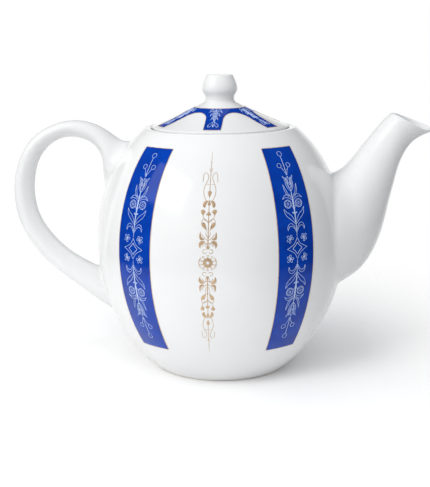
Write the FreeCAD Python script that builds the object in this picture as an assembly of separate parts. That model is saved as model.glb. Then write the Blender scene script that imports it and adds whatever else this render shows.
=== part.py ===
import FreeCAD, Part
import math
import os

V = FreeCAD.Vector
AXIS = V(0, 0, 1)
ORIGIN = V(0, 0, 0)

# Body: a turned egg, two superellipse quarters that meet at the belly
BELLY_R = 70.0
BELLY_Z = 70.6
FOOT_R = 38.7
LIP_R = 42.1
LIP_Z = 135.6
FULLNESS_LOW = 1.94
FULLNESS_HIGH = 2.07
WALL = 4.0
FLOOR = 5.0
FLOOR_CORNER = 12.0

# Foot: a ring left standing round a hollow base
FOOT_RING = 5.0
FOOT_HOLLOW = 3.0
FOOT_ROUND = 1.4

# Mouth: a rounded lip round a sunk ledge that carries the lid
LIP_T = 3.8
LIP_ROUND = 1.6
LEDGE_DROP = 4.2
LEDGE_T = 4.4
MOUTH_R = 33.0
LEDGE_CORNER = 4.0

# Lid: a flared dome with a skirt that drops into the mouth
LID_GAP = 0.6
LID_EDGE_T = 4.2
LID_ROUND = 1.2
LID_RISE = 15.7
LID_RIM_SLOPE = 0.34
LID_CROWN_SLOPE = 0.50
LID_WALL = 4.0
SKIRT_T = 3.2
SKIRT_DROP = 9.0
SKIRT_ROUND = 1.0
VENT_R = 1.5
VENT_AT = 26.0
VENT_WINDOW = 2

# Knob: a waisted button on the lid's crown
KNOB_NECK_R = 8.0
KNOB_NECK_FLARE = 2.4
KNOB_NECK_H = 1.8
KNOB_R = 9.75
KNOB_SWELL_H = 5.2
KNOB_TOP_R = 7.1
KNOB_H = 12.9
KNOB_CORNER = 1.6

# Limbs: each station is (reach past the belly, share of the lip's height) of the outer line,
# the same of the inner line, the half width, and how far the section narrows to the inner line.
# Heights go with the body's own, so that both limbs stay rooted in it.
HANDLE = [
    ((-27.0, 0.880), (-15.0, 0.704), 12.0, 0.0),
    ((-17.0, 0.929), (-5.0, 0.760), 11.0, 0.0),
    ((-11.5, 0.959), (-3.7, 0.827), 9.6, 0.0),
    ((-5.5, 0.990), (-2.8, 0.882), 8.2, 0.0),
    ((0.0, 1.011), (0.7, 0.924), 7.0, 0.0),
    ((8.0, 1.026), (7.8, 0.953), 6.3, 0.0),
    ((17.0, 1.024), (15.5, 0.959), 6.0, 0.0),
    ((27.0, 1.000), (22.5, 0.944), 5.9, 0.0),
    ((37.2, 0.946), (29.5, 0.901), 5.8, 0.0),
    ((44.4, 0.860), (34.0, 0.840), 5.8, 0.0),
    ((47.8, 0.737), (36.2, 0.737), 5.9, 0.0),
    ((45.6, 0.610), (34.2, 0.639), 6.1, 0.0),
    ((36.5, 0.483), (27.2, 0.548), 6.4, 0.0),
    ((24.6, 0.391), (17.0, 0.474), 7.0, 0.0),
    ((11.0, 0.314), (6.8, 0.427), 7.8, 0.0),
    ((-1.0, 0.247), (-1.0, 0.404), 9.2, 0.0),
    ((-14.0, 0.184), (-14.0, 0.396), 11.0, 0.0),
]

SPOUT = [
    ((-17.0, 0.780), (-14.0, 0.262), 33.0, 0.0),
    ((-7.0, 0.806), (-3.2, 0.342), 31.5, 0.0),
    ((-2.7, 0.822), (7.6, 0.396), 27.0, 0.0),
    ((1.6, 0.853), (16.7, 0.490), 22.0, 0.0),
    ((5.9, 0.893), (21.6, 0.592), 17.6, 0.0),
    ((10.1, 0.934), (24.6, 0.694), 14.4, 0.0),
    ((14.4, 0.973), (27.0, 0.770), 12.2, 0.0),
    ((18.6, 1.011), (29.1, 0.833), 10.8, 0.0),
    ((21.8, 1.036), (32.4, 0.893), 9.9, 0.05),
    ((23.5, 1.047), (37.8, 0.943), 9.4, 0.15),
    ((24.4, 1.051), (48.6, 0.981), 9.0, 0.30),
]
SPOUT_WALL = 3.6
SPOUT_RIM_T = 1.8

# Strainer: holes through the body wall inside the spout's root
STRAINER_HOLE_R = 2.6
STRAINER_PITCH = 9.5
STRAINER_RINGS = 2
STRAINER_FIRST_RING = 6

# Enamel: printed transfers fired on to the glaze
ENAMEL_T = 0.12
PANEL_AZIMUTH = 37.1
PANEL_HALF_ANGLE = 9.4
PANEL_FOOT_Z = 22.4
PANEL_TOP_DROP = 7.3
BAND_INNER_R = 14.2
BAND_OUTER_R = 34.2
BAND_LEGS = 6
BAND_LEG_W = 9.3
BAND_ARCH_R = 9.0
BAND_TURN = -4.5

# How finely curves are sampled, how close counts as the same place,
# and how far a cutter runs past what it cuts
PROFILE_STEPS = 14
SECTION_POINTS = 24
HALVINGS = 40
SAME_PLACE = 0.01
OVERRUN = 20.0

GALLERY_R = LIP_R - LIP_T
LEDGE_Z = LIP_Z - LEDGE_DROP
LID_R = GALLERY_R - LID_GAP
LID_RIM_Z = LEDGE_Z + LID_EDGE_T
SKIRT_R = MOUTH_R - LID_GAP
NECK_Z = LID_RIM_Z + LID_RISE


def quarter_height(span, edge_r, fullness):
    """Height at which a quarter closes, if it has edge_r at span from the belly."""
    return span / (1 - (edge_r / BELLY_R) ** fullness) ** (1 / fullness)


BELLY_DROP = quarter_height(BELLY_Z, FOOT_R, FULLNESS_LOW)
BELLY_RISE = quarter_height(LIP_Z - BELLY_Z, LIP_R, FULLNESS_HIGH)


def body_radius(z):
    """Outer radius of the body at height z."""
    if z < BELLY_Z:
        height, fullness = (BELLY_Z - z) / BELLY_DROP, FULLNESS_LOW
    else:
        height, fullness = (z - BELLY_Z) / BELLY_RISE, FULLNESS_HIGH
    return BELLY_R * max(1e-9, 1 - height**fullness) ** (1 / fullness)


def body_normal(z):
    """Outward normal of the body's profile at height z, in the plane y = 0."""
    rise = 2 * SAME_PLACE
    slope = (body_radius(z + SAME_PLACE) - body_radius(z - SAME_PLACE)) / rise
    return V(1, 0, -slope).normalize()


def body_point(z, offset):
    """Point of the body's profile at height z, moved outward by offset along its normal."""
    return V(body_radius(z), 0, z) + body_normal(z) * offset


def profile_heights(low, high):
    """Heights from low to high, closest together where the profile turns fastest."""
    start = math.asin((low - BELLY_Z) / (BELLY_DROP if low < BELLY_Z else BELLY_RISE))
    end = math.asin((high - BELLY_Z) / (BELLY_DROP if high < BELLY_Z else BELLY_RISE))
    heights = []
    for step in range(2 * PROFILE_STEPS + 1):
        angle = start + (end - start) * step / (2 * PROFILE_STEPS)
        reach = BELLY_DROP if angle < 0 else BELLY_RISE
        heights.append(BELLY_Z + reach * math.sin(angle))
    return heights


def smooth_curve(points):
    curve = Part.BSplineCurve()
    curve.interpolate(points)
    return curve


def bezier(*points):
    curve = Part.BezierCurve()
    curve.setPoles([V(r, 0, z) for r, z in points])
    return curve.toShape()


def lines(*points):
    """Straight edges through the (radius, height) points."""
    corners = [V(r, 0, z) for r, z in points]
    return [Part.makeLine(a, b) for a, b in zip(corners, corners[1:])]


def turned(edges, angle=360.0):
    """Solid swept by the outline that the edges make, about the pot's axis."""
    outline = Part.Wire(Part.sortEdges(edges)[0])
    solid = Part.Face(outline).revolve(ORIGIN, AXIS, angle)
    solid.rotate(ORIGIN, AXIS, 90.0)
    return solid


def round_circles(shape, radius, circles):
    """Round off the circular edges of a turned shape at the (radius, height) places."""
    chosen = []
    for edge in shape.Edges:
        point = edge.valueAt(edge.FirstParameter)
        place = V(math.hypot(point.x, point.y), 0, point.z)
        on_circle = edge.isClosed() and edge.Length > SAME_PLACE
        if on_circle and any(place.distanceToPoint(V(r, 0, z)) < SAME_PLACE for r, z in circles):
            chosen.append(edge)
    return shape.makeFillet(radius, chosen)


BODY_CURVE = smooth_curve([V(body_radius(z), 0, z) for z in profile_heights(0.0, LIP_Z)])


def body_blank():
    """The body's outside as one solid, before it is hollowed."""
    outline = [BODY_CURVE.toShape()]
    outline += lines((LIP_R, LIP_Z), (0, LIP_Z), (0, 0), (FOOT_R, 0))
    return turned(outline)


def rounded_corner(wall_end, wall_direction, level_z):
    """Curve from a wall's end into the level plane, towards the axis, and where it ends."""
    run = (level_z - wall_end.z) / wall_direction.z
    corner = wall_end + wall_direction * run
    inner_r = corner.x - abs(run)
    curve = bezier((wall_end.x, wall_end.z), (corner.x, level_z), (inner_r, level_z))
    return curve, inner_r


def make_body(blank):
    floor_z = FOOT_HOLLOW + FLOOR
    under_z = LEDGE_Z - LEDGE_T
    heights = profile_heights(floor_z + FLOOR_CORNER, under_z - LEDGE_CORNER)
    inside = smooth_curve([body_point(z, -WALL) for z in heights])
    low, high = inside.FirstParameter, inside.LastParameter
    floor_curve, floor_r = rounded_corner(inside.value(low), inside.tangent(low)[0], floor_z)
    ceiling_curve, ceiling_r = rounded_corner(inside.value(high), inside.tangent(high)[0], under_z)
    cavity = turned(
        lines((0, floor_z), (floor_r, floor_z))
        + [floor_curve, inside.toShape(), ceiling_curve]
        + lines((ceiling_r, under_z), (MOUTH_R, under_z), (MOUTH_R, LEDGE_Z), (GALLERY_R, LEDGE_Z))
        + lines((GALLERY_R, LEDGE_Z), (GALLERY_R, LIP_Z + OVERRUN), (0, LIP_Z + OVERRUN), (0, floor_z))
    )
    hollow_r = FOOT_R - FOOT_RING
    hollow = Part.makeCone(hollow_r, hollow_r - FOOT_HOLLOW, FOOT_HOLLOW)
    body = blank.cut(cavity).cut(hollow)
    body = round_circles(body, LIP_ROUND, [(LIP_R, LIP_Z), (GALLERY_R, LIP_Z)])
    body = round_circles(body, FOOT_ROUND, [(FOOT_R, 0), (hollow_r, 0)])
    return body.cut(strainer_holes())


def strainer_holes():
    """Drills along +X, in rings round the middle of the spout's root."""
    root_z = LIP_Z * (SPOUT[1][0][1] + SPOUT[1][1][1]) / 2
    places = [(0.0, 0.0)]
    for ring in range(1, STRAINER_RINGS + 1):
        count = STRAINER_FIRST_RING * ring
        for k in range(count):
            angle = 2 * math.pi * k / count
            out = ring * STRAINER_PITCH
            places.append((out * math.cos(angle), out * math.sin(angle)))
    start = BELLY_R / 2
    drills = []
    for y, z in places:
        drills.append(Part.makeCylinder(STRAINER_HOLE_R, BELLY_R, V(start, y, root_z + z), V(1, 0, 0)))
    return Part.makeCompound(drills)


class Limb:
    """A tube of oval sections between an outer and an inner line in the plane y = 0."""

    def __init__(self, stations, side):
        def place(reach, share):
            return V(side * (BELLY_R + reach), 0, share * LIP_Z)

        outer = [place(*station[0]) for station in stations]
        inner = [place(*station[1]) for station in stations]
        middles = [(a + b) * 0.5 for a, b in zip(outer, inner)]
        self.knots = [0.0]
        for a, b in zip(middles, middles[1:]):
            self.knots.append(self.knots[-1] + a.distanceToPoint(b))
        shapes = [V(station[2], station[3], knot) for station, knot in zip(stations, self.knots)]
        self.outer, self.inner, self.shape = (self.follow(points) for points in (outer, inner, shapes))

    def follow(self, points):
        curve = Part.BSplineCurve()
        curve.interpolate(Points=points, Parameters=self.knots)
        return curve

    def section(self, t, wall=0.0):
        """Points round the section at t, drawn in by a wall."""
        outer, inner, shape = (curve.value(t) for curve in (self.outer, self.inner, self.shape))
        half = (outer - inner) * 0.5
        half = half * (1 - wall / half.Length)
        points = []
        for angle in ANGLES:
            side = (shape.x - wall) * math.sin(angle) * (1 + shape.y * math.cos(angle))
            points.append((outer + inner) * 0.5 + half * math.cos(angle) + V(0, side, 0))
        return points


ANGLES = [2 * math.pi * k / SECTION_POINTS for k in range(SECTION_POINTS + 1)]


def ring(points):
    """Closed section through the points, square to the plane y = 0 where it crosses it."""
    curve = Part.BSplineCurve()
    square = V(0, 1, 0)
    curve.interpolate(Points=points, Parameters=ANGLES, InitialTangent=square, FinalTangent=square)
    return Part.Wire([curve.toShape()])


def loft(rows):
    return Part.makeLoft([ring(row) for row in rows], True, False)


def make_handle(blank):
    limb = Limb(HANDLE, -1)
    return loft(limb.section(t) for t in limb.knots).cut(blank)


def make_spout(blank):
    limb = Limb(SPOUT, 1)
    outside = loft(limb.section(t) for t in limb.knots)
    return outside.cut(blank).cut(spout_channel(limb))


def spout_channel(limb):
    """The bore: the spout's own sections drawn in by its wall, run out past the mouth."""
    last = limb.knots[-1]
    rows = [limb.section(t, SPOUT_WALL + (SPOUT_RIM_T - SPOUT_WALL) * t / last) for t in limb.knots]
    mouth = (limb.inner.value(last) - limb.outer.value(last)).normalize()
    out = V(-mouth.z, 0, mouth.x) * SPOUT_WALL
    rows.append([point + out for point in rows[-1]])
    return loft(rows)


def lid_dome():
    """Outer line of the lid from its rim up to the foot of the knob's neck."""
    third = (LID_R - KNOB_NECK_R) / 3
    top_z = NECK_Z - KNOB_NECK_H
    return bezier(
        (LID_R, LID_RIM_Z),
        (LID_R - third, LID_RIM_Z + third * LID_RIM_SLOPE),
        (KNOB_NECK_R + third, top_z - third * LID_CROWN_SLOPE),
        (KNOB_NECK_R, top_z),
    )


def dome_height(radius):
    """Height of the lid's outer line at a radius."""
    dome = lid_dome().Curve
    low, high = dome.FirstParameter, dome.LastParameter
    for _ in range(HALVINGS):
        t = (low + high) / 2
        if dome.value(t).x > radius:
            low = t
        else:
            high = t
    return dome.value(low).z


def make_skirt():
    """Ring under the lid that keeps it in the mouth."""
    skirt_in = SKIRT_R - SKIRT_T
    skirt_z = LEDGE_Z - SKIRT_DROP
    corners = [(skirt_in, LEDGE_Z), (skirt_in, skirt_z), (SKIRT_R, skirt_z), (SKIRT_R, LEDGE_Z)]
    skirt = turned(lines(*corners, corners[0]))
    return round_circles(skirt, SKIRT_ROUND, corners[1:3])


def make_lid():
    top_z = NECK_Z - KNOB_NECK_H
    skirt_in = SKIRT_R - SKIRT_T
    under_z = dome_height(skirt_in) - LID_WALL
    crown_z = top_z - LID_WALL
    ceiling = bezier(
        (skirt_in, under_z),
        (skirt_in * 2 / 3, crown_z - LID_WALL),
        (skirt_in / 3, crown_z),
        (0, crown_z),
    )
    lid = turned(
        [lid_dome(), ceiling]
        + lines((KNOB_NECK_R, top_z), (KNOB_NECK_R, NECK_Z), (0, NECK_Z), (0, crown_z))
        + lines((skirt_in, under_z), (skirt_in, LEDGE_Z), (LID_R, LEDGE_Z), (LID_R, LID_RIM_Z))
    )
    lid = round_circles(lid, KNOB_NECK_FLARE, [(KNOB_NECK_R, top_z)])
    lid = round_circles(lid, LID_ROUND, [(LID_R, LID_RIM_Z)])
    window = math.radians(BAND_TURN + (VENT_WINDOW + 0.5) * 360.0 / BAND_LEGS)
    place = V(VENT_AT * math.sin(window), -VENT_AT * math.cos(window), LEDGE_Z)
    return lid.cut(Part.makeCylinder(VENT_R, LID_RISE + LID_EDGE_T, place))


def make_knob():
    swell_z = NECK_Z + KNOB_SWELL_H
    top_z = NECK_Z + KNOB_H
    waist = bezier(
        (KNOB_NECK_R, NECK_Z),
        (KNOB_NECK_R, NECK_Z + KNOB_SWELL_H / 2),
        (KNOB_R, swell_z - KNOB_SWELL_H / 2),
        (KNOB_R, swell_z),
    )
    taper = bezier(
        (KNOB_R, swell_z),
        (KNOB_R, swell_z + (KNOB_H - KNOB_SWELL_H) / 3),
        (KNOB_TOP_R, top_z),
    )
    flats = lines((KNOB_TOP_R, top_z), (0, top_z), (0, NECK_Z), (KNOB_NECK_R, NECK_Z))
    knob = turned([waist, taper] + flats)
    return round_circles(knob, KNOB_CORNER, [(KNOB_TOP_R, top_z)])


def make_panel(azimuth):
    """A strip of enamel between two meridians, on the body's own curve."""
    top_z = LIP_Z - PANEL_TOP_DROP
    low = BODY_CURVE.parameter(V(body_radius(PANEL_FOOT_Z), 0, PANEL_FOOT_Z))
    high = BODY_CURVE.parameter(V(body_radius(top_z), 0, top_z))
    face = BODY_CURVE.toShape(low, high)
    heights = profile_heights(PANEL_FOOT_Z, top_z)
    front = smooth_curve([body_point(z, ENAMEL_T) for z in heights]).toShape()
    ends = [
        Part.makeLine(face.valueAt(face.FirstParameter), front.valueAt(front.FirstParameter)),
        Part.makeLine(face.valueAt(face.LastParameter), front.valueAt(front.LastParameter)),
    ]
    strip = turned([face, front] + ends, 2 * PANEL_HALF_ANGLE)
    strip.rotate(ORIGIN, AXIS, azimuth - 180.0 - PANEL_HALF_ANGLE)
    return strip


def make_band():
    """Enamel on the lid: a ring round the neck with straight legs to the rim, arches between."""
    dome = lid_dome()
    lifted = dome.translated(V(0, 0, ENAMEL_T))
    skin = turned(
        [dome, lifted]
        + lines((LID_R, LID_RIM_Z), (LID_R, LID_RIM_Z + ENAMEL_T))
        + lines((KNOB_NECK_R, NECK_Z - KNOB_NECK_H), (KNOB_NECK_R, NECK_Z - KNOB_NECK_H + ENAMEL_T))
    )
    height = LID_RISE + LID_EDGE_T
    base = V(0, 0, LEDGE_Z)
    disc = Part.makeCylinder(BAND_OUTER_R, height, base).cut(Part.makeCylinder(BAND_INNER_R, height, base))
    half_turn = math.pi / BAND_LEGS
    corner_r = BAND_LEG_W / 2 / math.sin(half_turn)
    arch_at = corner_r + BAND_ARCH_R / math.sin(half_turn)
    touch = (arch_at - corner_r) * math.cos(half_turn)
    far = LID_R / math.cos(half_turn)
    edge = V(0, 1, 0)
    side = V(math.sin(half_turn), math.cos(half_turn), 0)
    other = V(-math.sin(half_turn), math.cos(half_turn), 0)
    corner = edge * corner_r
    corners = [corner + side * touch, corner + side * far, corner + other * far, corner + other * touch]
    wedge = Part.Face(Part.makePolygon(corners + corners[:1])).extrude(V(0, 0, height))
    arch = Part.makeCylinder(BAND_ARCH_R, height, edge * arch_at).fuse(wedge)
    arch.translate(base)
    for leg in range(BAND_LEGS):
        window = arch.copy()
        window.rotate(ORIGIN, AXIS, 180.0 + BAND_TURN + (leg + 0.5) * 360.0 / BAND_LEGS)
        disc = disc.cut(window)
    return skin.common(disc)


def main():
    os.makedirs("parts", exist_ok=True)
    blank = body_blank()
    parts = {
        "body_shell": make_body(blank),
        "spout": make_spout(blank),
        "handle": make_handle(blank),
        "lid_dome": make_lid(),
        "lid_skirt": make_skirt(),
        "lid_knob": make_knob(),
        "lid_band_enamel": make_band(),
    }
    panels = {
        "front_left": -PANEL_AZIMUTH,
        "front_right": PANEL_AZIMUTH,
        "back_left": 180.0 + PANEL_AZIMUTH,
        "back_right": 180.0 - PANEL_AZIMUTH,
    }
    for name, azimuth in panels.items():
        parts["panel_enamel_" + name] = make_panel(azimuth)
    for name, shape in parts.items():
        solids = shape.Solids
        print(name, "solids", len(solids), "valid", shape.isValid(), "volume", round(shape.Volume, 1))
        shape.exportStep("parts/" + name + ".step")


main()
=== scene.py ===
import math

import bmesh
import bpy
import numpy as np
from mathutils import Matrix, Vector


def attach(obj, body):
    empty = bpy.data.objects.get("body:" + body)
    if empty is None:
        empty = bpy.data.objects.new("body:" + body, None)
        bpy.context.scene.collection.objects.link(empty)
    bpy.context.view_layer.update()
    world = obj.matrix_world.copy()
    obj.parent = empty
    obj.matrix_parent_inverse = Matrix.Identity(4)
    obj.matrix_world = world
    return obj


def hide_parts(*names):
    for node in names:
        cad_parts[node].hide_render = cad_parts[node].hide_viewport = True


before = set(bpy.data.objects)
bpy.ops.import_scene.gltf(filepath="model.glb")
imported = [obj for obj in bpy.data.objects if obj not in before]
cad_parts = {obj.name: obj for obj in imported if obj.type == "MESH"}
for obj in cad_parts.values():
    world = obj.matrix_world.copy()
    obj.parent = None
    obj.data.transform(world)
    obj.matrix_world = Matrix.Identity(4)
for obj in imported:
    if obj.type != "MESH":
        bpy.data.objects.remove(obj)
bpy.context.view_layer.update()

MM = 0.001

# Body, mouth and foot, in millimetres
BELLY_R = 70.0
BELLY_Z = 70.6
FOOT_R = 38.7
LIP_R = 42.1
LIP_Z = 135.6
FULLNESS_LOW = 1.94
FULLNESS_HIGH = 2.07
WALL = 4.0
FLOOR_Z = 8.0
FLOOR_CORNER = 12.0
HOLLOW_Z = 3.0
HOLLOW_ROUND = 1.5
FOOT_RING = 5.0
FOOT_ROUND = 1.4
FOOT_ROOM = 0.7
LIP_T = 3.8
LIP_ROUND = 1.6
LIP_ROOM = 0.6
LEDGE_Z = 131.4
LEDGE_T = 4.4
LEDGE_CORNER = 4.0
LEDGE_ROUND = 0.5
GALLERY_R = LIP_R - LIP_T
MOUTH_R = 33.0
MOUTH_ROUND_TOP = 0.8
MOUTH_ROUND_UNDER = 1.0
STRAINER_Z = 77.83
STRAINER_R = 2.6
STRAINER_PITCH = 9.5
STRAINER_FROM = 45.0
STRAINER_TO = 90.0

# Lid and knob
LID_R = 37.7
LID_RIM_Z = 136.2
LID_WALL = 4.0
CEILING_ROUND = 1.2
NOSE = 1.4
NOSE_ROUND = 0.64
NOSE_STEP = 1.0
NOSE_STEP_ROUND = 0.3
SEAT_ROUND = 0.4
RIM_SLOPE = 0.34
RIM_ROOM = 1.5
CROWN_SLOPE = 0.50
NECK_R = 8.0
NECK_H = 1.8
NECK_Z = 151.3
NECK_FLARE = 2.4
NECK_ROOM = 3.2
SKIRT_R = 32.4
SKIRT_IN = 29.2
SKIRT_Z = 122.4
SKIRT_ROUND = 1.0
VENT_R = 1.5
VENT_AT = 26.0
VENT_TURN = 150.0
VENT_FROM = 125.0
VENT_TO = 160.0
KNOB_R = 9.75
KNOB_SWELL = 5.2
KNOB_TOP_R = 7.1
KNOB_H = 12.9
KNOB_CORNER = 1.6
KNOB_ROOM = 2.6

# Limbs: reach past the belly and share of the lip's height of the outer and inner lines, half width, nose
HANDLE = [
    (-27.0, 0.880, -15.0, 0.704, 12.0, 0.0),
    (-17.0, 0.929, -5.0, 0.760, 11.0, 0.0),
    (-11.5, 0.959, -3.7, 0.827, 9.6, 0.05),
    (-5.5, 0.990, -2.8, 0.882, 8.2, 0.1),
    (0.0, 1.011, 0.7, 0.924, 7.0, 0.18),
    (8.0, 1.026, 7.8, 0.953, 6.3, 0.26),
    (17.0, 1.024, 15.5, 0.959, 6.0, 0.3),
    (27.0, 1.000, 22.5, 0.944, 5.9, 0.3),
    (37.2, 0.946, 29.5, 0.901, 5.8, 0.3),
    (44.4, 0.860, 34.0, 0.840, 5.8, 0.3),
    (47.8, 0.737, 36.2, 0.737, 5.9, 0.28),
    (45.6, 0.610, 34.2, 0.639, 6.1, 0.18),
    (36.5, 0.483, 27.2, 0.548, 6.4, 0.06),
    (24.6, 0.391, 17.0, 0.474, 7.0, 0.0),
    (11.0, 0.314, 6.8, 0.427, 7.8, 0.0),
    (-1.0, 0.247, -1.0, 0.404, 9.2, 0.0),
    (-14.0, 0.184, -14.0, 0.396, 11.0, 0.0),
]
SPOUT = [
    (-17.0, 0.780, -14.0, 0.262, 33.0, 0.0),
    (-7.0, 0.806, -3.2, 0.342, 31.5, 0.0),
    (-2.7, 0.822, 7.6, 0.396, 27.0, 0.0),
    (1.6, 0.853, 16.7, 0.490, 22.0, 0.0),
    (5.9, 0.893, 21.6, 0.592, 17.6, 0.0),
    (10.1, 0.934, 24.6, 0.694, 14.4, 0.0),
    (14.4, 0.973, 27.0, 0.770, 12.2, 0.0),
    (18.6, 1.011, 29.1, 0.833, 10.8, 0.0),
    (21.8, 1.036, 32.4, 0.893, 9.9, 0.05),
    (23.5, 1.047, 37.8, 0.943, 9.4, 0.15),
    (24.4, 1.051, 48.6, 0.981, 9.0, 0.30),
]
HANDLE_RIDGE = 1.12
HANDLE_TOP_FILLET = 7.5
HANDLE_FOOT_FILLET = 3.0
SPOUT_WALL = 3.6
SPOUT_RIM_T = 1.8
SPOUT_SKEW = 1.3
SPOUT_FILLET = 2.2
FILLET_SPREAD = 0.7
FILLET_PULL = 0.42
ROOT_SUNK = 0.8
CAP_SUNK = 2.0

# Transfers: band on the lid, panels and gold ornament on the body, with their azimuths in degrees
BAND_IN = 14.2
BAND_OUT = 35.3
BAND_LEGS = 6
BAND_TURN = -4.5
BAND_EDGE_W = 0.22
LEG_W = 9.3
ARCH_R = 9.0
PRINT_Z = 74.0
PANEL_LOW = -53.8
PANEL_HIGH = 59.2
PANEL_HALF = (8.9, 11.1, 9.35)
PANEL_EDGE_W = 0.38
RIGHT_AT = 36.9
LEFT_AT = -37.2
GOLD_AT = -3.0
GOLD_LEAN = 0.0174
GOLD_RISE = 0.6
GOLD_SHORTEN = 0.0014
GOLD_NARROW = 0.003
OPPOSITE = 180.0
ENAMEL_T = 0.12
LINE_T = 0.09
PRINT_SUNK = 0.05
EDGE_SUNK = PRINT_SUNK / 5
LINE_TOP = 0.45
LEAF_TOP = 0.88

# How a panel and its sprig lie across at foot, middle and top, then how far up the sprig's middle is
RIGHT = ((-1.2, -0.55, 1.45), (-1.9, -0.45, 1.2), 5.2)
LEFT = ((1.0, -1.05, -0.35), (1.8, -0.95, -0.2), 4.3)

# Mesh detail, with the welding distance in metres
SEGMENTS = 256
OUTSIDE_ROWS = 110
INSIDE_ROWS = 90
LEVEL_STEPS = 12
DOME_STEPS = 400
DOME_EVERY = 8
CEILING_STEPS = 40
HOLE_SIDES = 32
HANDLE_SIDES = 64
HANDLE_ROWS = 150
SPOUT_SIDES = 96
SPOUT_ROWS = 80
BORE_ROWS = 60
RIM_ROWS = 7
FILLET_ROWS = 8
PANEL_ROWS = 97
PANEL_COLUMNS = 17
ARCH_STEPS = 24
LEG_STEPS = 15
LEG_FOOT_STEPS = 8
RING_STEPS = 8
RING_EDGE_STEPS = 180
BAND_COLUMNS = 25
SHARP_ANGLE = math.radians(40)
WELD = 1e-6

# Searches along the surfaces and lines
QUARTER_END = 0.999
MERIDIAN_STEPS = 2000
SETTLING_ROUNDS = 4
SEARCH_STEPS = 600
BISECTIONS = 40
AHEAD_REACH = 4
NUDGE = 0.05
SAME_POINT = 1e-4
JOINED_ENDS = 1e-3


# Surfaces


def unit(vectors):
    return vectors / np.linalg.norm(vectors, axis=-1, keepdims=True)


def quarter_height(span, edge_r, fullness):
    """Height of a superellipse quarter that comes in from the belly to the edge over a span."""
    return span / (1 - (edge_r / BELLY_R) ** fullness) ** (1 / fullness)


BELLY_DROP = quarter_height(BELLY_Z, FOOT_R, FULLNESS_LOW)
BELLY_RISE = quarter_height(LIP_Z - BELLY_Z, LIP_R, FULLNESS_HIGH)


def body_radius(z):
    z = np.asarray(z, float)
    low = np.clip((BELLY_Z - z) / BELLY_DROP, 0, QUARTER_END) ** FULLNESS_LOW
    high = np.clip((z - BELLY_Z) / BELLY_RISE, 0, QUARTER_END) ** FULLNESS_HIGH
    return BELLY_R * np.where(
        z < BELLY_Z, (1 - low) ** (1 / FULLNESS_LOW), (1 - high) ** (1 / FULLNESS_HIGH)
    )


def body_slope(z):
    step = 0.01
    return (body_radius(np.asarray(z) + step) - body_radius(np.asarray(z) - step)) / (2 * step)


def body_normals(points):
    """Outward normals of the body where the points are nearest to it."""
    points = np.asarray(points, float)
    out = unit(points * (1, 1, 0))
    return unit(out + np.multiply.outer(-body_slope(points[..., 2]), (0, 0, 1)))


def off_body(points):
    """How far the points are outside the body, along its normal."""
    points = np.asarray(points, float)
    z = points[..., 2]
    return (np.hypot(points[..., 0], points[..., 1]) - body_radius(z)) / np.sqrt(1 + body_slope(z) ** 2)


def on_body(points, offset=0.0):
    """The points dropped on to the body, then moved out by the offset."""
    for _ in range(SETTLING_ROUNDS):
        points = points - body_normals(points) * off_body(points)[..., None]
    return points + body_normals(points) * offset


def body_point(azimuth, z, offset):
    """Point of the body's surface; the azimuth, in radians, goes from -Y towards +X."""
    slope = body_slope(z)
    lift = offset / np.sqrt(1 + slope**2)
    r = body_radius(z) + lift
    return np.stack([r * np.sin(azimuth), -r * np.cos(azimuth), z - lift * slope], -1)


# Heights against the length along the meridian, from the height at which the ornament was measured
MERIDIAN_Z = np.linspace(1.0, LIP_Z, MERIDIAN_STEPS)
MERIDIAN_S = np.concatenate(
    [[0], np.cumsum(np.hypot(np.diff(MERIDIAN_Z), np.diff(body_radius(MERIDIAN_Z))))]
)
MERIDIAN_S -= np.interp(PRINT_Z, MERIDIAN_Z, MERIDIAN_S)


def unrolled(azimuth):
    """Place on the body of flat points (across, along), about a meridian given in degrees."""

    def place(flat, offset):
        z = np.interp(flat[..., 1], MERIDIAN_S, MERIDIAN_Z)
        return body_point(math.radians(azimuth) + flat[..., 0] / body_radius(z), z, offset)

    return place


def bezier(*poles, steps=16):
    """Points along a Bezier curve, or along one curve for each row of the poles."""
    poles = np.array(poles, float)
    t = np.linspace(0, 1, steps + 1).reshape((-1,) + (1,) * (poles.ndim - 1))
    n = len(poles) - 1
    return sum(math.comb(n, i) * t**i * (1 - t) ** (n - i) * pole for i, pole in enumerate(poles))


DOME_TOP_Z = NECK_Z - NECK_H
DOME_THIRD = (LID_R - NECK_R) / 3
DOME = bezier(
    (LID_R, LID_RIM_Z),
    (LID_R - DOME_THIRD, LID_RIM_Z + DOME_THIRD * RIM_SLOPE),
    (NECK_R + DOME_THIRD, DOME_TOP_Z - DOME_THIRD * CROWN_SLOPE),
    (NECK_R, DOME_TOP_Z),
    steps=DOME_STEPS,
)


def dome_height(r):
    return np.interp(r, DOME[::-1, 0], DOME[::-1, 1])


def on_dome(azimuth):
    """Place on the lid of flat points (across, outward), about a direction given in degrees."""
    turn = math.radians(azimuth)
    out = np.array((math.sin(turn), -math.cos(turn)))
    across = np.array((math.cos(turn), math.sin(turn)))

    def place(flat, offset):
        xy = flat[..., :1] * across + flat[..., 1:] * out
        z = dome_height(np.hypot(xy[..., 0], xy[..., 1])) + offset
        return np.concatenate([xy, np.broadcast_to(z, xy.shape[:-1])[..., None]], -1)

    return place


# Meshes


class Shape:
    """Points and faces gathered for one piece."""

    def __init__(self):
        self.points, self.faces, self.count = [], [], 0

    def add(self, points, faces=()):
        points = np.asarray(points, float).reshape(-1, 3)
        self.points.append(points)
        self.faces += [tuple(i + self.count for i in face) for face in faces]
        self.count += len(points)

    def grid(self, rows, round_rows=False, round_columns=False):
        rows = np.asarray(rows, float)
        tall, wide = rows.shape[:2]
        self.add(rows, grid_faces(tall, wide, round_rows, round_columns))

    def fan(self, first, count, tip):
        """Triangles from a ring of points, which starts at the first, to a new tip."""
        self.faces += [(first + i, first + (i + 1) % count, self.count) for i in range(count)]
        self.add(tip)


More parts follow.
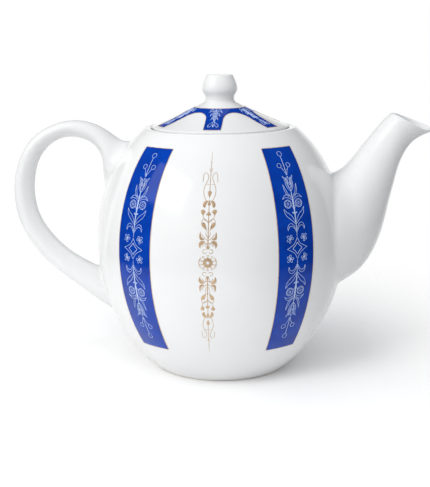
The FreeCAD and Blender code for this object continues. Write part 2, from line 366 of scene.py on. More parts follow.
def grid_faces(tall, wide, round_rows, round_columns):
    faces = []
    for j in range(tall if round_columns else tall - 1):
        for i in range(wide if round_rows else wide - 1):
            a, b = j * wide, (j + 1) % tall * wide
            n = (i + 1) % wide
            faces.append((a + i, a + n, b + n, b + i))
    return faces


def add_object(name, data):
    made = bpy.data.objects.new(name, data)
    bpy.context.scene.collection.objects.link(made)
    return made


def shade(mesh):
    mesh.shade_smooth()
    mesh.set_sharp_from_angle(angle=SHARP_ANGLE)


def make_piece(name, shape, material, body, slot, *nodes):
    mesh = bpy.data.meshes.new(name)
    mesh.from_pydata((np.concatenate(shape.points) * MM).tolist(), [], shape.faces)
    welded = bmesh.new()
    welded.from_mesh(mesh)
    bmesh.ops.remove_doubles(welded, verts=welded.verts, dist=WELD)
    bmesh.ops.recalc_face_normals(welded, faces=welded.faces)
    welded.to_mesh(mesh)
    welded.free()
    shade(mesh)
    mesh.materials.append(material)
    piece = add_object(name, mesh)
    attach(piece, body)
    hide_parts(*nodes)
    return piece


def drill(piece, holes):
    """Cut round holes through a piece: each hole is (start, end, radius)."""
    cutter = bpy.data.meshes.new("drill")
    made = bmesh.new()
    # Half a side of turn keeps the cutter's corners off the lines of the turned mesh
    half_side = Matrix.Rotation(math.pi / HOLE_SIDES, 4, "Z")
    for start, end, radius in holes:
        start, end, radius = Vector(start) * MM, Vector(end) * MM, radius * MM
        way = end - start
        place = Matrix.Translation((start + end) / 2) @ way.to_track_quat("Z", "Y").to_matrix().to_4x4()
        size = {"radius1": radius, "radius2": radius, "depth": way.length, "segments": HOLE_SIDES}
        bmesh.ops.create_cone(made, cap_ends=True, matrix=place @ half_side, **size)
    made.to_mesh(cutter)
    made.free()
    tool = add_object("drill", cutter)
    cut = piece.modifiers.new("drill", "BOOLEAN")
    cut.object, cut.operation, cut.solver = tool, "DIFFERENCE", "EXACT"
    result = bpy.data.meshes.new_from_object(piece.evaluated_get(bpy.context.evaluated_depsgraph_get()))
    piece.modifiers.clear()
    whole, name = piece.data, piece.data.name
    piece.data = result
    bpy.data.objects.remove(tool)
    bpy.data.meshes.remove(cutter)
    bpy.data.meshes.remove(whole)
    result.name = name
    shade(result)


def rounded(corners, steps=6):
    """Outline through (radius, height, rounding) corners, each rounded off."""
    corners = np.array(corners, float)
    out = []
    for k, (r, z, rounding) in enumerate(corners):
        here = np.array((r, z))
        if not rounding:
            out.append(here)
            continue
        back, on = (unit(corners[k + d, :2] - here) for d in (-1, 1))
        half = math.acos(np.clip(back @ on, -1, 1)) / 2
        run = rounding / math.tan(half)
        middle = here + unit(back + on) * rounding / math.sin(half)
        a, b = here + back * run - middle, here + on * run - middle
        sweep = math.pi - 2 * half
        for t in np.linspace(0, 1, steps + 1):
            out.append(middle + (a * math.sin(sweep * (1 - t)) + b * math.sin(sweep * t)) / math.sin(sweep))
    return np.array(out)


def plain(points):
    """Corners for rounded() that stay as they are."""
    return [(r, z, 0) for r, z in points]


def turned(outline, closed=False):
    """Shape swept about the axis by an outline, from axis to axis unless it is closed."""
    turn = np.arange(SEGMENTS) * 2 * math.pi / SEGMENTS
    middle = outline if closed else outline[1:-1]
    r, z = middle[:, :1], middle[:, 1:]
    shape = Shape()
    rows = np.stack([r * np.sin(turn), -r * np.cos(turn), z + 0 * turn], -1)
    shape.grid(rows, round_rows=True, round_columns=closed)
    if not closed:
        last = (len(middle) - 1) * SEGMENTS
        for first, end_z in ((0, outline[0, 1]), (last, outline[-1, 1])):
            shape.fan(first, SEGMENTS, (0, 0, end_z))
    return shape


# Body, lid, skirt and knob


def into_level(wall_end, way, level):
    """Curve from a wall's end into a level plane, towards the axis."""
    run = (level - wall_end[1]) / way[1]
    corner = wall_end + way * run
    return bezier(wall_end, corner, (corner[0] - abs(run), level), steps=LEVEL_STEPS)


def body_outline():
    hollow_r = FOOT_R - FOOT_RING
    rise = np.sin(np.linspace(-1, 1, OUTSIDE_ROWS) * math.pi / 2)
    z = BELLY_Z + np.where(rise < 0, BELLY_Z, LIP_Z - BELLY_Z) * rise
    z = z[(z > FOOT_ROOM) & (z < LIP_Z - LIP_ROOM)]
    outer = np.stack([body_radius(z), z], 1)
    under_z = LEDGE_Z - LEDGE_T
    z = np.linspace(under_z - LEDGE_CORNER, FLOOR_Z + FLOOR_CORNER, INSIDE_ROWS)
    slope = body_slope(z)
    long = np.sqrt(1 + slope**2)
    inner = np.stack([body_radius(z) - WALL / long, z + WALL * slope / long], 1)
    ceiling = into_level(inner[0], unit(inner[0] - inner[1]), under_z)[::-1]
    floor = into_level(inner[-1], unit(inner[-1] - inner[-2]), FLOOR_Z)
    return rounded(
        [(0, HOLLOW_Z, 0), (hollow_r - HOLLOW_Z, HOLLOW_Z, HOLLOW_ROUND)]
        + [(hollow_r, 0, FOOT_ROUND), (FOOT_R, 0, FOOT_ROUND)]
        + plain(outer)
        + [(LIP_R, LIP_Z, LIP_ROUND), (GALLERY_R, LIP_Z, LIP_ROUND), (GALLERY_R, LEDGE_Z, LEDGE_ROUND)]
        + [(MOUTH_R, LEDGE_Z, MOUTH_ROUND_TOP), (MOUTH_R, under_z, MOUTH_ROUND_UNDER)]
        + plain(ceiling)
        + plain(inner[1:-1])
        + plain(floor)
        + [(0, FLOOR_Z, 0)]
    )


def strainer_holes():
    """A hole in the middle and two rings round it, through the wall behind the spout."""
    places = [(0.0, 0.0)]
    for ring in (1, 2):
        for k in range(6 * ring):
            turn = 2 * math.pi * k / (6 * ring)
            places.append((ring * STRAINER_PITCH * math.cos(turn), ring * STRAINER_PITCH * math.sin(turn)))
    return [
        ((STRAINER_FROM, y, STRAINER_Z + z), (STRAINER_TO, y, STRAINER_Z + z), STRAINER_R) for y, z in places
    ]


def lid_outline():
    crown_z = DOME_TOP_Z - LID_WALL
    ceiling = bezier(
        (SKIRT_IN, dome_height(SKIRT_IN) - LID_WALL),
        (SKIRT_IN * 2 / 3, crown_z - LID_WALL),
        (SKIRT_IN / 3, crown_z),
        (0, crown_z),
        steps=CEILING_STEPS,
    )[::-1]
    dome = DOME[::DOME_EVERY]
    dome = dome[(dome[:, 0] < LID_R - RIM_ROOM) & (dome[:, 0] > NECK_R + NECK_ROOM)]
    nose_z, step_r = LID_RIM_Z - NOSE, LID_R - NOSE_STEP
    return rounded(
        plain(ceiling[:-1])
        + [(*ceiling[-1], CEILING_ROUND), (SKIRT_IN, LEDGE_Z, 0)]
        + [(step_r, LEDGE_Z, SEAT_ROUND), (step_r, nose_z, NOSE_STEP_ROUND)]
        + [(LID_R, nose_z, NOSE_ROUND), (LID_R, LID_RIM_Z, NOSE_ROUND)]
        + plain(dome)
        + [(NECK_R, DOME_TOP_Z, NECK_FLARE), (NECK_R, NECK_Z, 0), (0, NECK_Z, 0)]
    )


def vent_hole():
    turn = math.radians(BAND_TURN + VENT_TURN)
    x, y = VENT_AT * math.sin(turn), -VENT_AT * math.cos(turn)
    return (x, y, VENT_FROM), (x, y, VENT_TO), VENT_R


def skirt_outline():
    return rounded(
        [(SKIRT_IN, LEDGE_Z, 0), (SKIRT_IN, SKIRT_Z, SKIRT_ROUND)]
        + [(SKIRT_R, SKIRT_Z, SKIRT_ROUND), (SKIRT_R, LEDGE_Z, 0)]
    )


def knob_outline():
    swell_z, top_z = NECK_Z + KNOB_SWELL, NECK_Z + KNOB_H
    half = KNOB_SWELL / 2
    waist = bezier((NECK_R, NECK_Z), (NECK_R, NECK_Z + half), (KNOB_R, swell_z - half), (KNOB_R, swell_z))
    taper = bezier((KNOB_R, swell_z), (KNOB_R, swell_z + (KNOB_H - KNOB_SWELL) / 3), (KNOB_TOP_R, top_z))
    taper = taper[taper[:, 1] < top_z - KNOB_ROOM]
    top = [(KNOB_TOP_R, top_z, KNOB_CORNER), (0, top_z, 0)]
    return rounded([(0, NECK_Z, 0)] + plain(waist) + plain(taper[1:]) + top)


# Handle and spout


class Spline:
    """Natural cubic spline through points at given knots."""

    def __init__(self, knots, points):
        self.knots, self.points = np.array(knots, float), np.array(points, float)
        gap = np.diff(self.knots)
        rise = np.diff(self.points, axis=0) / gap[:, None]
        n = len(self.knots)
        system, right = np.eye(n), np.zeros_like(self.points)
        for i in range(1, n - 1):
            system[i, i - 1 : i + 2] = gap[i - 1], 2 * (gap[i - 1] + gap[i]), gap[i]
            right[i] = 6 * (rise[i] - rise[i - 1])
        self.bend = np.linalg.solve(system, right)

    def __call__(self, t):
        t = np.asarray(t, float)
        i = np.clip(np.searchsorted(self.knots, t) - 1, 0, len(self.knots) - 2)
        gap = (self.knots[i + 1] - self.knots[i])[..., None]
        a, b = (self.knots[i + 1] - t)[..., None] / gap, (t - self.knots[i])[..., None] / gap
        bend = ((a**3 - a) * self.bend[i] + (b**3 - b) * self.bend[i + 1]) * gap**2 / 6
        return a * self.points[i] + b * self.points[i + 1] + bend


def bisect(low, high, holds):
    """The values between low and high from which a test holds."""
    for _ in range(BISECTIONS):
        middle = (low + high) / 2
        held = holds(middle)
        low, high = np.where(held, low, middle), np.where(held, middle, high)
    return high


class Limb:
    """Tube of oval sections between an outer and an inner line, as streamlines round it."""

    def __init__(self, stations, side, around, ridge=1.0):
        s = np.array(stations)
        ends = np.stack([BELLY_R + s[:, 0], s[:, 1] * LIP_Z, BELLY_R + s[:, 2], s[:, 3] * LIP_Z], 1)
        middle = (ends[:, :2] + ends[:, 2:]) / 2
        knots = np.concatenate([[0], np.cumsum(np.hypot(*np.diff(middle, axis=0).T))])
        self.lines = Spline(knots, np.concatenate([ends, s[:, 4:]], 1))
        self.end, self.side, self.around = knots[-1], side, around
        turn = np.arange(around) * 2 * math.pi / around
        self.deep, self.wide = (np.sign(v) * np.abs(v) ** ridge for v in (np.cos(turn), np.sin(turn)))

    def at(self, t, wall=0.0):
        """Points at t, which holds one value for each streamline along its last axis."""
        v = self.lines(t)
        outer, inner, width, nose = v[..., 0:2], v[..., 2:4], v[..., 4], v[..., 5]
        half = (outer - inner) / 2
        half = half * (1 - wall / np.hypot(half[..., 0], half[..., 1]))[..., None]
        flat = (outer + inner) / 2 + half * self.deep[:, None]
        y = (width - wall) * self.wide * (1 + nose * self.deep)
        return np.stack([self.side * flat[..., 0], y, flat[..., 1]], -1)

    def crossing(self, start, end, depth=0.0, wall=lambda t: 0.0):
        """Where each streamline, followed from start, first comes within a depth of the body's outside."""

        def is_out(t):
            return off_body(self.at(t, wall(t))) + depth > 0

        steps = np.linspace(start, end, SEARCH_STEPS)
        first = np.array([is_out(np.full(self.around, t)) for t in steps]).argmax(0)
        return bisect(steps[first - 1], steps[first], is_out)

    def ahead(self, t, distance, way):
        """Each streamline's t at a straight distance from the place at t."""
        here = self.at(t)

        def is_far(s):
            return np.linalg.norm(self.at(s) - here, axis=-1) > distance

        return bisect(t, t + way * distance * AHEAD_REACH, is_far)

    def root(self, t, way, fillet):
        """Rows from inside the wall, up the fillet, to where the free limb starts, and that t."""
        here = self.at(t)
        start = self.ahead(t, fillet, way)
        free = self.at(start)
        along = unit(self.at(start + way * NUDGE) - free)
        around = np.roll(here, -1, 0) - np.roll(here, 1, 0)
        away = np.cross(around, body_normals(here))
        away *= np.sign(((here - here.mean(0)) * away).sum(-1, keepdims=True))
        foot = on_body(here + unit(away) * fillet * FILLET_SPREAD)
        normal = body_normals(foot)
        slide = here - foot
        slide = unit(slide - normal * (slide * normal).sum(-1, keepdims=True))
        reach = np.linalg.norm(free - foot, axis=-1, keepdims=True) * FILLET_PULL
        rows = bezier(foot, foot + slide * reach, free - along * reach, free, steps=FILLET_ROWS)
        return np.concatenate([on_body(foot, -ROOT_SUNK)[None], rows]), start


def handle_shape():
    limb = Limb(HANDLE, -1, HANDLE_SIDES, HANDLE_RIDGE)
    middle = limb.end / 2
    top, start = limb.root(limb.crossing(0.0, middle), 1, HANDLE_TOP_FILLET)
    foot, end = limb.root(limb.crossing(limb.end, middle), -1, HANDLE_FOOT_FILLET)
    run = [limb.at(start + (end - start) * f) for f in np.linspace(0, 1, HANDLE_ROWS)]
    rows = np.concatenate([top[:-1], run, foot[-2::-1]])
    shape = Shape()
    shape.grid(rows, round_rows=True)
    for first, edge in ((0, rows[0]), ((len(rows) - 1) * HANDLE_SIDES, rows[-1])):
        shape.fan(first, HANDLE_SIDES, on_body(edge.mean(0)[None], -CAP_SUNK))
    return shape


def spout_shape():
    limb = Limb(SPOUT, 1, SPOUT_SIDES)

    def wall(t):
        return SPOUT_WALL + (SPOUT_RIM_T - SPOUT_WALL) * t / limb.end

    root, start = limb.root(limb.crossing(0.0, limb.end), 1, SPOUT_FILLET)
    rim = SPOUT_RIM_T / 2
    last = limb.end - rim + SPOUT_SKEW * limb.wide
    outer = [limb.at(start + (last - start) * f) for f in np.linspace(0, 1, SPOUT_ROWS)]
    inside = limb.crossing(0.0, limb.end, ROOT_SUNK, wall)
    bore = [last + (inside - last) * f for f in np.linspace(0, 1, BORE_ROWS)]
    inner = [limb.at(t, wall(t)) for t in bore]
    middle, half = (outer[-1] + inner[0]) / 2, (outer[-1] - inner[0]) / 2
    ahead = unit(limb.at(last + rim, rim) - middle) * np.linalg.norm(half, axis=-1, keepdims=True)
    bends = np.linspace(0, math.pi, RIM_ROWS + 2)[1:-1]
    lip = [middle + half * math.cos(t) + ahead * math.sin(t) for t in bends]
    shape = Shape()
    shape.grid(np.concatenate([root[:-1], outer, lip, inner]), round_rows=True, round_columns=True)
    return shape


# Transfers


def numbered(flat):
    """The numbers of a grid's points, laid out as the grid."""
    return np.arange(flat.shape[0] * flat.shape[1]).reshape(flat.shape[:2])


def border(grid):
    """A grid's outer points, once round and back to the first."""
    return np.concatenate([grid[0], grid[1:, -1], grid[-1, -2::-1], grid[-2::-1, 0]])


def pairs(line):
    return list(zip(line[:-1].tolist(), line[1:].tolist()))


def sheet(shape, flat, place, edges):
    """Thin print over a grid of flat points, with walls along the edges, given as pairs of points."""
    base, under = shape.count, flat.shape[0] * flat.shape[1]
    shape.grid(place(flat, ENAMEL_T))
    shape.grid(place(flat, -PRINT_SUNK))
    shape.faces += [(base + a, base + b, base + under + b, base + under + a) for a, b in edges]


def ribbon(shape, points, widths, place, level):
    """Thin raised line that follows flat points, its edges at the given level."""
    points = np.asarray(points, float)
    widths = np.broadcast_to(widths, len(points))
    keep = np.concatenate([[True], np.hypot(*np.diff(points, axis=0).T) > SAME_POINT])
    points, widths = points[keep], widths[keep]
    closed = np.hypot(*(points[0] - points[-1])) < JOINED_ENDS
    if closed:
        points, widths = points[:-1], widths[:-1]
        way = np.roll(points, -1, 0) - np.roll(points, 1, 0)
    else:
        way = np.gradient(points, axis=0)
    way = unit(way)
    side = np.stack([-way[:, 1], way[:, 0]], 1) * widths[:, None] / 2
    section = [(1, -EDGE_SUNK), (LINE_TOP, LINE_T), (-LINE_TOP, LINE_T), (-1, -EDGE_SUNK), (0, -PRINT_SUNK)]
    base, corners = shape.count, len(section)
    rows = np.stack([place(points + side * across, level + up) for across, up in section], 1)
    shape.grid(rows, round_rows=True, round_columns=closed)
    if not closed:
        for first in (base, base + (len(points) - 1) * corners):
            shape.faces.append(tuple(range(first, first + corners)))


def leaf(shape, points, place, level):
    """Thin raised patch inside a flat outline."""
    points = np.asarray(points, float)
    centre = points.mean(0)
    section = [(1, -PRINT_SUNK), (1, -EDGE_SUNK), (LEAF_TOP, LINE_T)]
    base, n = shape.count, len(points)
    rows = [place(centre + (points - centre) * out, level + up) for out, up in section]
    shape.grid(rows, round_rows=True)
    shape.fan(base, n, place(centre, level - PRINT_SUNK))
    shape.fan(base + 2 * n, n, place(centre, level + LINE_T))


def smooth(points, steps=8):
    """Points of a smooth line through the given points."""
    p = np.array(points, float)
    p = np.vstack([2 * p[0] - p[1], p, 2 * p[-1] - p[-2]])
    t = (np.arange(steps) / steps)[:, None]
    runs = [
        0.5 * (2 * b + (c - a) * t + (2 * a - 5 * b + 4 * c - d) * t**2 + (3 * b - a - 3 * c + d) * t**3)
        for a, b, c, d in zip(p, p[1:], p[2:], p[3:])
    ]
    return np.vstack(runs + [p[-2:-1]])


def arc(u, v, radius, start=0.0, end=360.0, squash=1.0, steps=20):
    turn = np.radians(np.linspace(start, end, steps + 1))
    return np.stack([u + radius * np.cos(turn), v + squash * radius * np.sin(turn)], 1)


# Largest value of sin(t) * (1 - cos(t)), rounded
DROP_PEAK = 1.3


def drop(tip, head, width, steps=16):
    """Outline of a drop from its pointed tip to its round head."""
    tip, head = np.array(tip, float), np.array(head, float)
    along = head - tip
    across = np.array((-along[1], along[0])) / np.hypot(*along) * width / 2
    turn = np.linspace(0, 2 * math.pi, steps, endpoint=False)[:, None]
    return tip + along * (1 - np.cos(turn)) / 2 + across * np.sin(turn) * (1 - np.cos(turn)) / DROP_PEAK


def closed_line(points):
    return np.vstack([points, points[:1]])


class Ornament:
    """Lines with a width at each point, and filled leaves, with mirrored copies."""

    def __init__(self):
        self.lines, self.leaves = [], []

    def line(self, points, widths, sides=2, halves=2):
        """A line of one width, or of several widths in even steps along it."""
        points, widths = np.array(points, float), np.atleast_1d(widths)
        steps = np.linspace(0, len(widths) - 1, len(points))
        widths = np.interp(steps, np.arange(len(widths)), widths)
        for flip in mirrors(sides, halves):
            self.lines.append((points * flip, widths))

    def leaf(self, points, sides=2, halves=2):
        for flip in mirrors(sides, halves):
            self.leaves.append(np.array(points, float) * flip)

    def draw(self, shape, place, level):
        for points, widths in self.lines:
            ribbon(shape, points, widths, place, level)
        for points in self.leaves:
            leaf(shape, points, place, level)


def mirrors(sides, halves):
    return [np.array((u, v)) for u in (1, -1)[:sides] for v in (1, -1)[:halves]]


def panel_ornament(w=0.25):
    o = Ornament()
    # rings on stalks
    o.line(arc(0, 50.2, 1.4), w, sides=1)
    o.line(smooth([(0, 48.8), (0, 44), (0, 38.4)]), (w * 1.3, w * 1.6), sides=1)
    o.line(arc(2.9, 43.5, 1.25), w)
    o.line(smooth([(2.3, 42.4), (1.2, 40.6), (0.1, 37.9)]), w)
    # tulip
    o.line(smooth([(0.1, 29.3), (1.6, 31.0), (2.3, 33.2), (2.3, 35.2), (3.2, 37.6)]), w)
    o.line(smooth([(3.2, 37.6), (1.9, 36.2), (1.3, 33.8), (0.4, 31.0)]), w)
    o.line(smooth([(0.3, 30.4), (1.4, 32.8), (1.5, 36.6), (0.8, 35.2), (0.1, 32.6)]), w * 0.9)
    o.line(smooth([(0.1, 29.6), (0.8, 32.0), (0.8, 34.8), (0.0, 37.4)]), w)
    # blades under the tulip
    o.line(smooth([(0.9, 26.9), (2.3, 28.5), (3.2, 30.6), (4.2, 33.1)]), w)
    o.line(smooth([(4.2, 33.1), (4.0, 30.4), (3.3, 28.3), (2.1, 26.8), (0.7, 26.0)]), w)
    o.line(smooth([(0.6, 26.6), (2.6, 27.6), (4.6, 27.3), (6.2, 25.5)]), w)
    o.line(smooth([(6.2, 25.5), (4.4, 26.3), (2.4, 26.0), (0.5, 24.9)]), w)
    # rosettes
    u, v = 3.45, 22.9
    o.line(arc(u, v, 2.15), w)
    o.line(arc(u, v, 0.6, steps=12), w)
    for turn in range(0, 360, 60):
        a = math.radians(turn + 30)
        petal = arc(u + 1.25 * math.cos(a), v + 1.25 * math.sin(a), 0.62, turn - 70, turn + 130, steps=8)
        o.line(petal, w * 0.8)
    o.line(smooth([(1.5, 22.0), (0.8, 21.2), (0.1, 19.6)]), w)
    # stem and its buds
    stem = smooth([(0, 30.0), (0, 24.0), (0, 18.0), (0, 12.0), (0, 6.0)])
    o.line(stem, (0.3, 1.0, 0.75, 0.5, 0.2), sides=1)
    o.leaf(drop((0.1, 17.6), (1.5, 18.4), 0.7))
    # long leaves
    o.line(smooth([(0.2, 12.4), (2.4, 14.4), (4.7, 16.3), (6.0, 18.2), (6.4, 20.6)]), w)
    o.line(smooth([(6.4, 20.6), (4.9, 18.8), (3.0, 17.5), (1.4, 15.6), (0.2, 13.3)]), w)
    # crescents
    o.line(smooth([(0.2, 9.4), (1.6, 11.9), (3.2, 12.9), (4.7, 12.2), (5.4, 10.4), (5.2, 9.4)]), w)
    o.line(smooth([(5.2, 9.4), (4.5, 10.9), (3.2, 11.5), (1.8, 10.8), (0.2, 8.5)]), w)
    # star round a lozenge, with four bow flowers
    o.line(smooth([(0, 3.0), (1.35, 1.35), (3.0, 0)]), w * 1.3)
    o.line(smooth([(0, 5.4), (1.5, 2.9), (3.1, 1.6), (6.3, 0)]), w)
    u, v = 4.3, 4.9
    for turn, length in ((45, 2.5), (110, 2.2), (-20, 2.2), (170, 1.9), (-80, 1.9)):
        a = math.radians(turn)
        petal = drop((u, v), (u + length * math.cos(a), v + length * math.sin(a)), 1.1)
        o.line(closed_line(petal), w * 0.9)
    return o


def gold_ornament(w=0.3):
    o = Ornament()
    # finial
    o.line(smooth([(0, 57.6), (0, 52), (0, 46.0)]), (0.14, 0.36), sides=1)
    o.line([(-0.45, 51.8), (0.45, 51.8)], 0.3, sides=1)
    o.line(smooth([(0.1, 46.6), (0.5, 47.6), (1.0, 48.5)]), (w, 0.1))
    # lyre
    o.line(smooth([(0, 46.0), (0, 41), (0, 36.0)]), w * 1.1, sides=1)
    belly = [(1.0, 30.6), (2.4, 33.0), (3.0, 36.0), (2.6, 38.8), (1.7, 40.9), (1.0, 43.2)]
    horn = [(1.4, 45.0), (2.5, 45.9), (3.4, 44.9), (3.6, 42.8), (3.8, 40.8)]
    o.line(smooth(belly + horn), w)
    o.line([(-2.2, 39.6), (2.2, 39.6)], w * 0.8, sides=1)
    o.leaf(drop((0, 32.4), (0, 36.3), 2.0), sides=1)
    # bow
    o.leaf(smooth([(0.4, 31.3), (2.1, 31.1), (3.2, 29.7), (2.9, 28.0), (1.9, 27.8), (1.5, 29.3)], 3))
    o.leaf(drop((0, 32.0), (0, 28.6), 1.5), sides=1)
    # three buds
    o.line(smooth([(0, 29.4), (0, 22), (0, 14), (0, 7.0)]), (w * 1.1, w * 2.0), sides=1)
    o.leaf(drop((0, 23.2), (0, 25.6), 1.5), sides=1)
    o.leaf(drop((0.1, 23.6), (1.2, 24.6), 0.8))
    o.leaf(drop((2.8, 23.3), (3.1, 26.8), 2.1))
    o.leaf(drop((2.7, 24.2), (1.8, 26.0), 0.7))
    o.line(smooth([(2.8, 23.6), (2.6, 22.6), (1.8, 21.6), (0.1, 20.4)]), w)
    # scrolls over drops
    o.leaf(drop((0.6, 16.0), (3.1, 20.2), 2.1))
    o.line(smooth([(3.4, 19.6), (3.2, 21.4), (2.1, 22.1), (1.0, 21.4), (0.1, 20.0)]), w)
    # leaves
    high = [(3.9, 15.9), (4.5, 13.7), (4.2, 12.0), (3.2, 11.4), (1.6, 11.7), (3.1, 12.7), (3.7, 14.2)]
    o.leaf(smooth(high, 3))
    o.line(smooth([(3.0, 14.4), (2.6, 13.4), (1.6, 12.4), (0.1, 11.2)]), w)
    low = [(1.5, 10.8), (3.0, 11.2), (4.3, 10.5), (4.7, 8.9), (3.9, 7.2), (3.6, 8.6), (2.6, 9.4)]
    o.leaf(smooth(low, 3))
    o.line(smooth([(2.9, 8.2), (2.3, 9.0), (1.4, 9.9), (0.1, 9.6)]), w)
    o.line(smooth([(0.1, 7.4), (0.8, 8.2), (1.1, 9.6), (2.0, 10.6)]), w)
    o.line(smooth([(0.1, 12.6), (0.7, 13.4), (1.2, 14.8), (0.8, 15.9)]), (w, w * 0.6))
    o.leaf(drop((0, 9.2), (0, 6.8), 1.5), sides=1)
    o.line(arc(1.6, 5.8, 1.0, -160, 120, steps=12), w)
    # rosette
    for turn in range(0, 360, 36):
        a = math.radians(turn + 18)
        c, s = math.cos(a), math.sin(a)
        o.leaf(drop((0.45 * c, 0.45 * s), (2.65 * c, 2.65 * s), 1.45), 1, 1)
        o.line([(2.8 * c, 2.7 * s), (3.5 * c, 3.3 * s)], (w * 1.8, w * 1.1), 1, 1)
        o.line(arc(3.6 * c, 3.4 * s, 0.6, turn - 72, turn + 108, steps=8), w * 0.9, 1, 1)
    o.line(arc(0, 0, 4.5, -42, 42, 0.95, 16), w * 0.9, halves=1)
    return o


def leg_ornament(w=0.24):
    """Across the lid's leg, and outward from the lid's axis."""
    o = Ornament()
    # stem with fronds that arch out of it
    o.line(smooth([(0, 15.0), (0, 20.8), (0, 26.6)]), (w * 1.4, w), 1, 1)
    o.line(smooth([(0.1, 26.2), (0.9, 22.8), (0.8, 18.6), (0.1, 15.2)]), w, halves=1)
    for foot, out, tip in ((25.6, 2.0, 25.0), (22.8, 2.7, 21.4), (20.0, 3.5, 17.9)):
        for crown in (tip - 2.9, tip - 1.5):
            frond = [(0.1, foot), (0.3 * out, crown + 1.0), (0.7 * out, crown), (out, tip)]
            o.line(smooth(frond), w, halves=1)
    # drop between two open petals
    o.leaf(drop((0, 28.4), (0, 32.2), 0.8), 1, 1)
    o.line(closed_line(drop((0.1, 26.2), (2.5, 31.9), 1.7)), w, halves=1)
    return o


def through(foot, middle, top):
    """Smooth value along a panel that goes through its three measured values."""
    along = np.polyfit((PANEL_LOW, (PANEL_LOW + PANEL_HIGH) / 2, PANEL_HIGH), (foot, middle, top), 2)
    return lambda s: np.polyval(along, s)


def add_panel(side, azimuth, centre, stem, stem_middle):
    """One blue panel with its edge line and its sprig; centre and stem are how they lie across."""
    place = unrolled(azimuth)
    middle, half, lay = through(*centre), through(*PANEL_HALF), through(*stem)

    def net(past):
        """Flat points over the panel, and past its edges by so much."""
        s = np.linspace(PANEL_LOW - past, PANEL_HIGH + past, PANEL_ROWS)[:, None]
        across = np.linspace(-1, 1, PANEL_COLUMNS)
        return np.stack([middle(s) + (half(s) + past) * across, s + 0 * across], -1)

    def laid(flat, offset):
        s = flat[..., 1] + stem_middle
        return place(np.stack([flat[..., 0] + lay(s), s], -1), offset)

    shape, flat = Shape(), net(0)
    sheet(shape, flat, place, pairs(border(numbered(flat))))
    make_piece("panel_" + side, shape, COBALT, "pot", "cobalt_enamel", "panel_enamel_" + side)
    shape = Shape()
    ribbon(shape, border(net(PANEL_EDGE_W / 2)), PANEL_EDGE_W, place, ENAMEL_T / 2)
    make_piece("panel_edge_" + side, shape, GOLD, "pot", "cobalt_enamel")
    shape = Shape()
    panel_ornament().draw(shape, laid, ENAMEL_T)
    make_piece("panel_sprig_" + side, shape, LINE_WHITE, "pot", "cobalt_enamel")


def add_gold(side, azimuth):
    """The gold ornament between two panels, leaning a little as the transfer was laid."""
    place = unrolled(azimuth)

    def laid(flat, offset):
        below = np.maximum(-flat[..., 1], 0)
        along = flat[..., 1] * (1 - GOLD_SHORTEN * below)
        across = flat[..., 0] * (1 - GOLD_NARROW * below) + along * GOLD_LEAN
        return place(np.stack([across, along + GOLD_RISE], -1), offset)

    shape = Shape()
    gold_ornament().draw(shape, laid, 0.0)
    make_piece("gold_ornament_" + side, shape, GOLD, "pot", "cobalt_enamel")


def band_side():
    """Right edge of a leg, from the middle of the arch beside it down to the leg's foot."""
    half_turn = math.pi / BAND_LEGS
    arch_at = (LEG_W / 2 + ARCH_R) / math.sin(half_turn)
    u, v = arch_at * math.sin(half_turn), arch_at * math.cos(half_turn)
    arch = arc(u, v, ARCH_R, 270 - math.degrees(half_turn), 180, steps=ARCH_STEPS)
    foot_v = math.sqrt(BAND_OUT**2 - (LEG_W / 2) ** 2)
    side_v = np.linspace(arch[-1, 1], foot_v, LEG_STEPS + 1)[1:]
    return np.concatenate([arch, np.stack([np.full(LEG_STEPS, LEG_W / 2), side_v], 1)])


def add_band():
    """The lid's blue ring and legs, with edge lines and a sprig on each leg."""
    half_turn = math.pi / BAND_LEGS
    side = band_side()
    ring_r = np.linspace(BAND_IN, np.hypot(*side[0]), RING_STEPS + 1)[:-1]
    row_r = np.concatenate([ring_r, np.hypot(side[:, 0], side[:, 1])])
    row_turn = np.concatenate([np.full(RING_STEPS, half_turn), np.arctan2(side[:, 0], side[:, 1])])
    turn = row_turn[:, None] * np.linspace(-1, 1, BAND_COLUMNS)
    flat = row_r[:, None, None] * np.stack([np.sin(turn), np.cos(turn)], -1)
    # Walls stand along the ring, the foot and the leg's sides, and not where two sixths of the ring meet
    at = numbered(flat)
    walls = []
    for line in (at[0], at[-1], at[RING_STEPS:, 0], at[RING_STEPS:, -1]):
        walls += pairs(line)
    # The edge line goes along the foot, up this leg's right side and down the next leg's left side
    foot_turn = math.degrees(row_turn[-1])
    foot = arc(0, 0, BAND_OUT, 90 + foot_turn, 90 - foot_turn, steps=LEG_FOOT_STEPS)
    c, s = math.cos(2 * half_turn), math.sin(2 * half_turn)
    next_side = (side * (-1, 1)) @ np.array([[c, -s], [s, c]])
    outline = np.concatenate([foot, side[-2::-1], next_side])
    band, sprigs, lines = Shape(), Shape(), Shape()
    for leg in range(BAND_LEGS):
        place = on_dome(BAND_TURN + leg * 360 / BAND_LEGS)
        sheet(band, flat, place, walls)
        leg_ornament().draw(sprigs, place, ENAMEL_T)
        ribbon(lines, outline, BAND_EDGE_W, place, ENAMEL_T)
    ribbon(lines, arc(0, 0, BAND_IN, steps=RING_EDGE_STEPS), BAND_EDGE_W, on_dome(0), ENAMEL_T)
    make_piece("lid_band", band, COBALT, "lid", "cobalt_enamel", "lid_band_enamel")
    make_piece("lid_sprigs", sprigs, LINE_WHITE, "lid", "cobalt_enamel")
    make_piece("lid_band_edge", lines, GOLD, "lid", "cobalt_enamel")


# Materials

# Sockets of a Mix node: its two values and its result
MIX_SOCKETS = {"FLOAT": (2, 3, 0), "RGBA": (6, 7, 2)}


